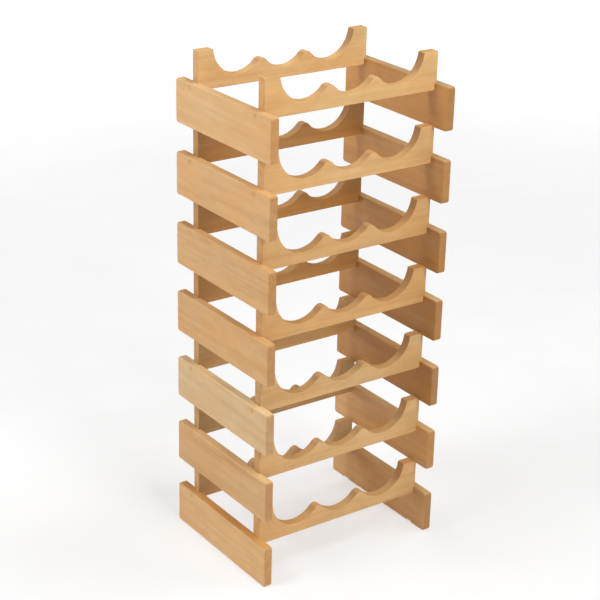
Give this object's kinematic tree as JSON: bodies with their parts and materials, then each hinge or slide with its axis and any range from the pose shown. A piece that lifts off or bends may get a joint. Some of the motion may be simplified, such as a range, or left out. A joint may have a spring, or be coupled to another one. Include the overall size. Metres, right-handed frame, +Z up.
{
  "type": "wine rack",
  "caption": "Free-standing stack of pale hardwood tiers. Scalloped cross bars between side slats hold wine bottles lying on their sides, and each tier lifts off the posts below.",
  "frame": {"origin": "middle of the footprint, on the surface that the rack stands on", "axes": "+X to the right along the bars, seen from the front; +Y to the back; +Z up"},
  "size_m": [0.347, 0.268, 0.843],
  "materials": {
    "bar_wood": "clear satin lacquer on planed pale hardwood",
    "slat_wood": "clear satin lacquer on planed pale hardwood",
    "plug_wood": "clear satin lacquer on a sanded wood plug",
    "screw_steel": "plain zinc-plated steel"
  },
  "bodies": {
    "tier_1": {"tier_1_front_bar": "bar_wood", "tier_1_rear_bar": "bar_wood", "tier_1_left_slat": "slat_wood", "tier_1_left_front_plug": "plug_wood", "tier_1_left_rear_plug": "plug_wood", "tier_1_right_slat": "slat_wood", "tier_1_right_front_plug": "plug_wood", "tier_1_right_rear_plug": "plug_wood"},
    "tier_2": {"tier_2_front_bar": "bar_wood", "tier_2_rear_bar": "bar_wood", "tier_2_left_slat": "slat_wood", "tier_2_left_front_plug": "plug_wood", "tier_2_left_rear_plug": "plug_wood", "tier_2_right_slat": "slat_wood", "tier_2_right_front_plug": "plug_wood", "tier_2_right_rear_plug": "plug_wood"},
    "tier_3": {"tier_3_front_bar": "bar_wood", "tier_3_rear_bar": "bar_wood", "tier_3_left_slat": "slat_wood", "tier_3_left_front_plug": "plug_wood", "tier_3_left_rear_plug": "plug_wood", "tier_3_right_slat": "slat_wood", "tier_3_right_front_plug": "plug_wood", "tier_3_right_rear_plug": "plug_wood"},
    "tier_4": {"tier_4_front_bar": "bar_wood", "tier_4_rear_bar": "bar_wood", "tier_4_left_slat": "slat_wood", "tier_4_left_front_plug": "plug_wood", "tier_4_left_rear_plug": "plug_wood", "tier_4_right_slat": "slat_wood", "tier_4_right_front_plug": "plug_wood", "tier_4_right_rear_plug": "plug_wood"},
    "tier_5": {"tier_5_front_bar": "bar_wood", "tier_5_rear_bar": "bar_wood", "tier_5_left_slat": "slat_wood", "tier_5_left_front_plug": "plug_wood", "tier_5_left_rear_plug": "plug_wood", "tier_5_right_slat": "slat_wood", "tier_5_right_front_plug": "plug_wood", "tier_5_right_rear_plug": "plug_wood"},
    "tier_6": {"tier_6_front_bar": "bar_wood", "tier_6_rear_bar": "bar_wood", "tier_6_left_slat": "slat_wood", "tier_6_left_front_plug": "plug_wood", "tier_6_left_rear_plug": "plug_wood", "tier_6_right_slat": "slat_wood", "tier_6_right_front_plug": "plug_wood", "tier_6_right_rear_plug": "plug_wood"},
    "tier_7": {"tier_7_front_bar": "bar_wood", "tier_7_rear_bar": "bar_wood", "tier_7_left_slat": "slat_wood", "tier_7_left_front_plug": "plug_wood", "tier_7_left_rear_plug": "plug_wood", "tier_7_right_slat": "slat_wood", "tier_7_right_front_plug": "plug_wood", "tier_7_right_rear_plug": "plug_wood"}
  },
  "joints": [
    {"name": "tier_2_lift", "type": "slide", "parent": "tier_1", "child": "tier_2", "axis": [0, 0, 1], "range_m": [0, 0.04]},
    {"name": "tier_3_lift", "type": "slide", "parent": "tier_2", "child": "tier_3", "axis": [0, 0, 1], "range_m": [0, 0.04]},
    {"name": "tier_4_lift", "type": "slide", "parent": "tier_3", "child": "tier_4", "axis": [0, 0, 1], "range_m": [0, 0.04]},
    {"name": "tier_5_lift", "type": "slide", "parent": "tier_4", "child": "tier_5", "axis": [0, 0, 1], "range_m": [0, 0.04]},
    {"name": "tier_6_lift", "type": "slide", "parent": "tier_5", "child": "tier_6", "axis": [0, 0, 1], "range_m": [0, 0.04]},
    {"name": "tier_7_lift", "type": "slide", "parent": "tier_6", "child": "tier_7", "axis": [0, 0, 1], "range_m": [0, 0.04]}
  ]
}
